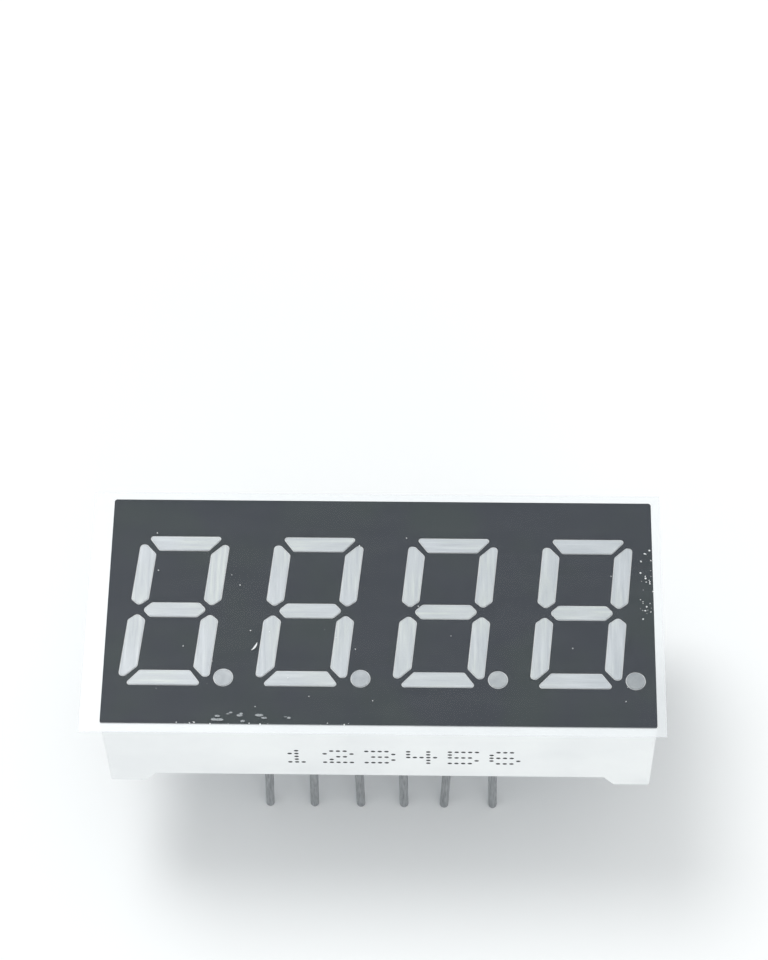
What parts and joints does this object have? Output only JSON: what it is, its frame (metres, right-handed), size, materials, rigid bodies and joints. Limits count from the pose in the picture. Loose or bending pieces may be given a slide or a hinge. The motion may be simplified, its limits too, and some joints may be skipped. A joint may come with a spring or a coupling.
{
  "type": "seven segment display module",
  "caption": "Seven-segment LED display module with a row of leaning digits and decimal points in a grey-faced white housing, on two rows of straight through-hole pins.",
  "frame": {"origin": "centre of the pin grid on the seating plane, where the housing's corner feet stand on a circuit board", "axes": "+X along the row of digits in reading order, +Y towards the digits' tops, +Z out of the lit face; the pins point along -Z"},
  "size_m": [0.0318, 0.0149, 0.0145],
  "materials": {
    "white_housing": "moulded white, satin",
    "grey_face_ink": "screen-printed dark grey ink, satin",
    "clear_film": "clear protective film, slightly milky",
    "segment_resin": "milky diffusing epoxy",
    "potting_resin": "glossy blue-grey epoxy, poured",
    "board_laminate": "glass-epoxy laminate",
    "copper_lands": "gold-flashed copper",
    "led_die": "cut semiconductor",
    "bond_wire": "drawn wire",
    "solder": "reflowed tin",
    "tinned_pins": "tinned, drawn lengthwise"
  },
  "bodies": {
    "root": {"reflector_housing": "white_housing", "face_print": "grey_face_ink", "protective_film": "clear_film", "circuit_board": "board_laminate", "board_copper": "copper_lands", "pin_solder_joints": "solder", "back_potting": "potting_resin", "digit_1_segment_a": "segment_resin", "digit_1_segment_b": "segment_resin", "digit_1_segment_c": "segment_resin", "digit_1_segment_d": "segment_resin", "digit_1_segment_e": "segment_resin", "digit_1_segment_f": "segment_resin", "digit_1_segment_g": "segment_resin", "digit_2_segment_a": "segment_resin", "digit_2_segment_b": "segment_resin", "digit_2_segment_c": "segment_resin", "digit_2_segment_d": "segment_resin", "digit_2_segment_e": "segment_resin", "digit_2_segment_f": "segment_resin", "digit_2_segment_g": "segment_resin", "digit_3_segment_a": "segment_resin", "digit_3_segment_b": "segment_resin", "digit_3_segment_c": "segment_resin", "digit_3_segment_d": "segment_resin", "digit_3_segment_e": "segment_resin", "digit_3_segment_f": "segment_resin", "digit_3_segment_g": "segment_resin", "digit_4_segment_a": "segment_resin", "digit_4_segment_b": "segment_resin", "digit_4_segment_c": "segment_resin", "digit_4_segment_d": "segment_resin", "digit_4_segment_e": "segment_resin", "digit_4_segment_f": "segment_resin", "digit_4_segment_g": "segment_resin", "digit_1_decimal_point": "segment_resin", "digit_2_decimal_point": "segment_resin", "digit_3_decimal_point": "segment_resin", "digit_4_decimal_point": "segment_resin", "digit_1_led_dies": "led_die", "digit_2_led_dies": "led_die", "digit_3_led_dies": "led_die", "digit_4_led_dies": "led_die", "digit_1_bond_wires": "bond_wire", "digit_2_bond_wires": "bond_wire", "digit_3_bond_wires": "bond_wire", "digit_4_bond_wires": "bond_wire", "pin_1": "tinned_pins", "pin_2": "tinned_pins", "pin_3": "tinned_pins", "pin_4": "tinned_pins", "pin_5": "tinned_pins", "pin_6": "tinned_pins", "pin_7": "tinned_pins", "pin_8": "tinned_pins", "pin_9": "tinned_pins", "pin_10": "tinned_pins", "pin_11": "tinned_pins", "pin_12": "tinned_pins"}
  },
  "joints": []
}
